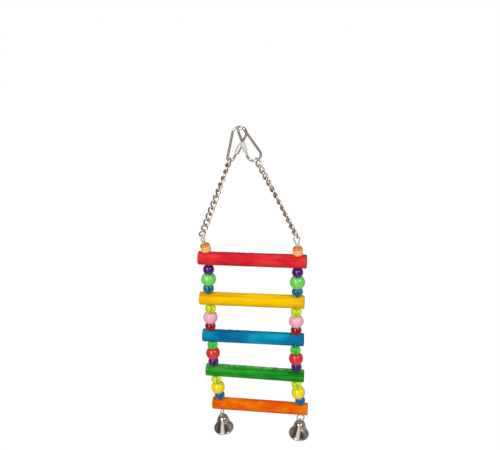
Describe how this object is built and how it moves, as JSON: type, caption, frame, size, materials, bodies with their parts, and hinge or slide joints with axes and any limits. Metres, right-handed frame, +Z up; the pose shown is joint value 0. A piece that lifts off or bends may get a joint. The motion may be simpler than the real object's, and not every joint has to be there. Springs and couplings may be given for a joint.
{
  "type": "bird ladder",
  "caption": "Hanging bird ladder: stained dowel rungs and glossy beads threaded on stiff wires, hung by twisted chains from screw links, with a small bell at each foot.",
  "frame": {"origin": "the hang point, where both screw links bear on the hook or wire that holds them", "axes": "+Z up, +X to the right along the rungs, -Y towards the front"},
  "size_m": [0.1055, 0.0216, 0.3396],
  "materials": {
    "red_wood": "stained, grain showing",
    "yellow_wood": "stained, grain showing",
    "blue_wood": "stained, grain showing",
    "green_wood": "stained, grain showing",
    "orange_wood": "stained, grain showing",
    "purple_bead": "glossy",
    "light_green_bead": "glossy",
    "teal_bead": "glossy, clear",
    "lime_bead": "glossy, clear",
    "pink_bead": "glossy",
    "dark_red_bead": "glossy, clear",
    "green_bead": "glossy, clear",
    "red_bead": "glossy",
    "violet_bead": "glossy, clear",
    "lime_green_bead": "glossy, clear",
    "yellow_bead": "glossy",
    "blue_bead": "glossy, clear",
    "striped_bead": "glossy, striped in cream and orange",
    "zinc_wire": "zinc plated",
    "chain_nickel": "warm nickel plate",
    "link_nickel": "warm nickel plate",
    "bell_nickel": "polished nickel plate",
    "bell_wire": "nickel plated"
  },
  "bodies": {
    "screw_links": {"left_screw_link": "link_nickel", "right_screw_link": "link_nickel"},
    "left_sleeve": {"left_sleeve": "link_nickel"},
    "right_sleeve": {"right_sleeve": "link_nickel"},
    "chain_1": {"chain_1": "chain_nickel"},
    "chain_2": {"chain_2": "chain_nickel"},
    "chain_3": {"chain_3": "chain_nickel"},
    "chain_4": {"chain_4": "chain_nickel"},
    "chain_5": {"chain_5": "chain_nickel"},
    "chain_6": {"chain_6": "chain_nickel"},
    "chain_7": {"chain_7": "chain_nickel"},
    "chain_8": {"chain_8": "chain_nickel"},
    "chain_9": {"chain_9": "chain_nickel"},
    "chain_10": {"chain_10": "chain_nickel"},
    "chain_11": {"chain_11": "chain_nickel"},
    "chain_12": {"chain_12": "chain_nickel"},
    "chain_13": {"chain_13": "chain_nickel"},
    "ladder": {"red_rung": "red_wood", "yellow_rung": "yellow_wood", "blue_rung": "blue_wood", "green_rung": "green_wood", "orange_rung": "orange_wood", "left_wire": "zinc_wire", "right_wire": "zinc_wire"},
    "left_spool_bead": {"left_spool_bead": "striped_bead"},
    "left_bead_1": {"left_bead_1": "purple_bead"},
    "left_bead_2": {"left_bead_2": "light_green_bead"},
    "left_bead_3": {"left_bead_3": "teal_bead"},
    "left_bead_4": {"left_bead_4": "lime_bead"},
    "left_bead_5": {"left_bead_5": "pink_bead"},
    "left_bead_6": {"left_bead_6": "dark_red_bead"},
    "left_bead_7": {"left_bead_7": "green_bead"},
    "left_bead_8": {"left_bead_8": "red_bead"},
    "left_bead_9": {"left_bead_9": "violet_bead"},
    "left_bead_10": {"left_bead_10": "lime_green_bead"},
    "left_bead_11": {"left_bead_11": "yellow_bead"},
    "left_bead_12": {"left_bead_12": "blue_bead"},
    "left_bell": {"left_bell": "bell_nickel", "left_hanger": "bell_wire"},
    "left_clapper": {"left_clapper": "bell_wire"},
    "right_spool_bead": {"right_spool_bead": "striped_bead"},
    "right_bead_1": {"right_bead_1": "purple_bead"},
    "right_bead_2": {"right_bead_2": "light_green_bead"},
    "right_bead_3": {"right_bead_3": "teal_bead"},
    "right_bead_4": {"right_bead_4": "lime_bead"},
    "right_bead_5": {"right_bead_5": "pink_bead"},
    "right_bead_6": {"right_bead_6": "dark_red_bead"},
    "right_bead_7": {"right_bead_7": "green_bead"},
    "right_bead_8": {"right_bead_8": "red_bead"},
    "right_bead_9": {"right_bead_9": "violet_bead"},
    "right_bead_10": {"right_bead_10": "lime_green_bead"},
    "right_bead_11": {"right_bead_11": "yellow_bead"},
    "right_bead_12": {"right_bead_12": "blue_bead"},
    "right_bell": {"right_bell": "bell_nickel", "right_hanger": "bell_wire"},
    "right_clapper": {"right_clapper": "bell_wire"}
  },
  "joints": [
    {"name": "left_gate", "type": "slide", "parent": "screw_links", "child": "left_sleeve", "axis": [-0.5065, -0.106, -0.8557], "range_m": [0, 0.0055]},
    {"name": "right_gate", "type": "slide", "parent": "screw_links", "child": "right_sleeve", "axis": [-0.257, -0.058, 0.9647], "range_m": [0, 0.0055]},
    {"name": "chain_1_swing", "type": "hinge", "parent": "screw_links", "child": "chain_1", "pos_m": [0, 0, -0.02748], "axis": [1, 0, 0], "range_deg": [-25, 25]},
    {"name": "chain_2_swing", "type": "hinge", "parent": "chain_1", "child": "chain_2", "pos_m": [0, 0, -0.03208], "axis": [1, 0, 0], "range_deg": [-12, 12]},
    {"name": "chain_3_swing", "type": "hinge", "parent": "chain_2", "child": "chain_3", "pos_m": [0, 0, -0.03771], "axis": [1, 0, 0], "range_deg": [-12, 12]},
    {"name": "chain_4_swing", "type": "hinge", "parent": "chain_3", "child": "chain_4", "pos_m": [0, 0, -0.04334], "axis": [1, 0, 0], "range_deg": [-12, 12]},
    {"name": "chain_5_swing", "type": "hinge", "parent": "chain_4", "child": "chain_5", "pos_m": [0, 0, -0.04897], "axis": [1, 0, 0], "range_deg": [-12, 12]},
    {"name": "chain_6_swing", "type": "hinge", "parent": "chain_5", "child": "chain_6", "pos_m": [0, 0, -0.0546], "axis": [1, 0, 0], "range_deg": [-12, 12]},
    {"name": "chain_7_swing", "type": "hinge", "parent": "chain_6", "child": "chain_7", "pos_m": [0, 0, -0.06023], "axis": [1, 0, 0], "range_deg": [-12, 12]},
    {"name": "chain_8_swing", "type": "hinge", "parent": "chain_7", "child": "chain_8", "pos_m": [0, 0, -0.06586], "axis": [1, 0, 0], "range_deg": [-12, 12]},
    {"name": "chain_9_swing", "type": "hinge", "parent": "chain_8", "child": "chain_9", "pos_m": [0, 0, -0.07149], "axis": [1, 0, 0], "range_deg": [-12, 12]},
    {"name": "chain_10_swing", "type": "hinge", "parent": "chain_9", "child": "chain_10", "pos_m": [0, 0, -0.07712], "axis": [1, 0, 0], "range_deg": [-12, 12]},
    {"name": "chain_11_swing", "type": "hinge", "parent": "chain_10", "child": "chain_11", "pos_m": [0, 0, -0.08274], "axis": [1, 0, 0], "range_deg": [-12, 12]},
    {"name": "chain_12_swing", "type": "hinge", "parent": "chain_11", "child": "chain_12", "pos_m": [0, 0, -0.08837], "axis": [1, 0, 0], "range_deg": [-12, 12]},
    {"name": "chain_13_swing", "type": "hinge", "parent": "chain_12", "child": "chain_13", "pos_m": [0, 0, -0.094], "axis": [1, 0, 0], "range_deg": [-12, 12]},
    {"name": "ladder_swing", "type": "hinge", "parent": "chain_13", "child": "ladder", "pos_m": [0, 0, -0.09874], "axis": [1, 0, 0], "range_deg": [-15, 15]},
    {"name": "left_spool_bead_spin", "type": "hinge", "parent": "ladder", "child": "left_spool_bead", "pos_m": [-0.03977, 0, -0.11655], "axis": [-0.1787, 0, 0.9839], "continuous": true},
    {"name": "left_bead_1_spin", "type": "hinge", "parent": "ladder", "child": "left_bead_1", "pos_m": [-0.04276, 0, -0.16085], "axis": [0.1013, 0, 0.9949], "continuous": true},
    {"name": "left_bead_2_spin", "type": "hinge", "parent": "ladder", "child": "left_bead_2", "pos_m": [-0.04276, 0, -0.16085], "axis": [0.1013, 0, 0.9949], "continuous": true},
    {"name": "left_bead_3_spin", "type": "hinge", "parent": "ladder", "child": "left_bead_3", "pos_m": [-0.04276, 0, -0.16085], "axis": [0.1013, 0, 0.9949], "continuous": true},
    {"name": "left_bead_4_spin", "type": "hinge", "parent": "ladder", "child": "left_bead_4", "pos_m": [-0.04506, 0, -0.20452], "axis": [0.1013, 0, 0.9949], "continuous": true},
    {"name": "left_bead_5_spin", "type": "hinge", "parent": "ladder", "child": "left_bead_5", "pos_m": [-0.04506, 0, -0.20452], "axis": [0.1013, 0, 0.9949], "continuous": true},
    {"name": "left_bead_6_spin", "type": "hinge", "parent": "ladder", "child": "left_bead_6", "pos_m": [-0.04506, 0, -0.20452], "axis": [0.1013, 0, 0.9949], "continuous": true},
    {"name": "left_bead_7_spin", "type": "hinge", "parent": "ladder", "child": "left_bead_7", "pos_m": [-0.04574, 0, -0.24807], "axis": [0.0509, 0, 0.9987], "continuous": true},
    {"name": "left_bead_8_spin", "type": "hinge", "parent": "ladder", "child": "left_bead_8", "pos_m": [-0.04574, 0, -0.24807], "axis": [0.0509, 0, 0.9987], "continuous": true},
    {"name": "left_bead_9_spin", "type": "hinge", "parent": "ladder", "child": "left_bead_9", "pos_m": [-0.04574, 0, -0.24807], "axis": [0.0509, 0, 0.9987], "continuous": true},
    {"name": "left_bead_10_spin", "type": "hinge", "parent": "ladder", "child": "left_bead_10", "pos_m": [-0.04242, 0, -0.2929], "axis": [-0.0788, 0, 0.9969], "continuous": true},
    {"name": "left_bead_11_spin", "type": "hinge", "parent": "ladder", "child": "left_bead_11", "pos_m": [-0.04242, 0, -0.2929], "axis": [-0.0788, 0, 0.9969], "continuous": true},
    {"name": "left_bead_12_spin", "type": "hinge", "parent": "ladder", "child": "left_bead_12", "pos_m": [-0.04242, 0, -0.2929], "axis": [-0.0788, 0, 0.9969], "continuous": true},
    {"name": "left_bell_swing", "type": "hinge", "parent": "ladder", "child": "left_bell", "pos_m": [-0.04225, 0, -0.31476], "axis": [0.2756, 0.9613, 0], "range_deg": [-60, 60]},
    {"name": "left_clapper_swing", "type": "hinge", "parent": "left_bell", "child": "left_clapper", "pos_m": [-0.04225, 0, -0.32056], "axis": [-0.9613, 0.2756, 0], "range_deg": [-28, 28]},
    {"name": "right_spool_bead_spin", "type": "hinge", "parent": "ladder", "child": "right_spool_bead", "pos_m": [0.04382, 0, -0.1183], "axis": [-0.0417, 0, 0.9991], "continuous": true},
    {"name": "right_bead_1_spin", "type": "hinge", "parent": "ladder", "child": "right_bead_1", "pos_m": [0.04193, 0, -0.16203], "axis": [0.0341, 0, 0.9994], "continuous": true},
    {"name": "right_bead_2_spin", "type": "hinge", "parent": "ladder", "child": "right_bead_2", "pos_m": [0.04193, 0, -0.16203], "axis": [0.0341, 0, 0.9994], "continuous": true},
    {"name": "right_bead_3_spin", "type": "hinge", "parent": "ladder", "child": "right_bead_3", "pos_m": [0.04193, 0, -0.16203], "axis": [0.0341, 0, 0.9994], "continuous": true},
    {"name": "right_bead_4_spin", "type": "hinge", "parent": "ladder", "child": "right_bead_4", "pos_m": [0.03963, 0, -0.2057], "axis": [0.0325, 0, 0.9995], "continuous": true},
    {"name": "right_bead_5_spin", "type": "hinge", "parent": "ladder", "child": "right_bead_5", "pos_m": [0.03963, 0, -0.2057], "axis": [0.0325, 0, 0.9995], "continuous": true},
    {"name": "right_bead_6_spin", "type": "hinge", "parent": "ladder", "child": "right_bead_6", "pos_m": [0.03963, 0, -0.2057], "axis": [0.0325, 0, 0.9995], "continuous": true},
    {"name": "right_bead_7_spin", "type": "hinge", "parent": "ladder", "child": "right_bead_7", "pos_m": [0.03892, 0, -0.25073], "axis": [-0.0167, 0, 0.9999], "continuous": true},
    {"name": "right_bead_8_spin", "type": "hinge", "parent": "ladder", "child": "right_bead_8", "pos_m": [0.03892, 0, -0.25073], "axis": [-0.0167, 0, 0.9999], "continuous": true},
    {"name": "right_bead_9_spin", "type": "hinge", "parent": "ladder", "child": "right_bead_9", "pos_m": [0.03892, 0, -0.25073], "axis": [-0.0167, 0, 0.9999], "continuous": true},
    {"name": "right_bead_10_spin", "type": "hinge", "parent": "ladder", "child": "right_bead_10", "pos_m": [0.04227, 0, -0.29468], "axis": [-0.1486, 0, 0.9889], "continuous": true},
    {"name": "right_bead_11_spin", "type": "hinge", "parent": "ladder", "child": "right_bead_11", "pos_m": [0.04227, 0, -0.29468], "axis": [-0.1486, 0, 0.9889], "continuous": true},
    {"name": "right_bead_12_spin", "type": "hinge", "parent": "ladder", "child": "right_bead_12", "pos_m": [0.04227, 0, -0.29468], "axis": [-0.1486, 0, 0.9889], "continuous": true},
    {"name": "right_bell_swing", "type": "hinge", "parent": "ladder", "child": "right_bell", "pos_m": [0.04095, -0.00003, -0.31649], "axis": [0.9921, 0.0694, -0.1045], "range_deg": [-60, 60]},
    {"name": "right_clapper_swing", "type": "hinge", "parent": "right_bell", "child": "right_clapper", "pos_m": [0.04035, -0.00007, -0.32226], "axis": [-0.0698, 0.9976, 0], "range_deg": [-22, 34]}
  ]
}
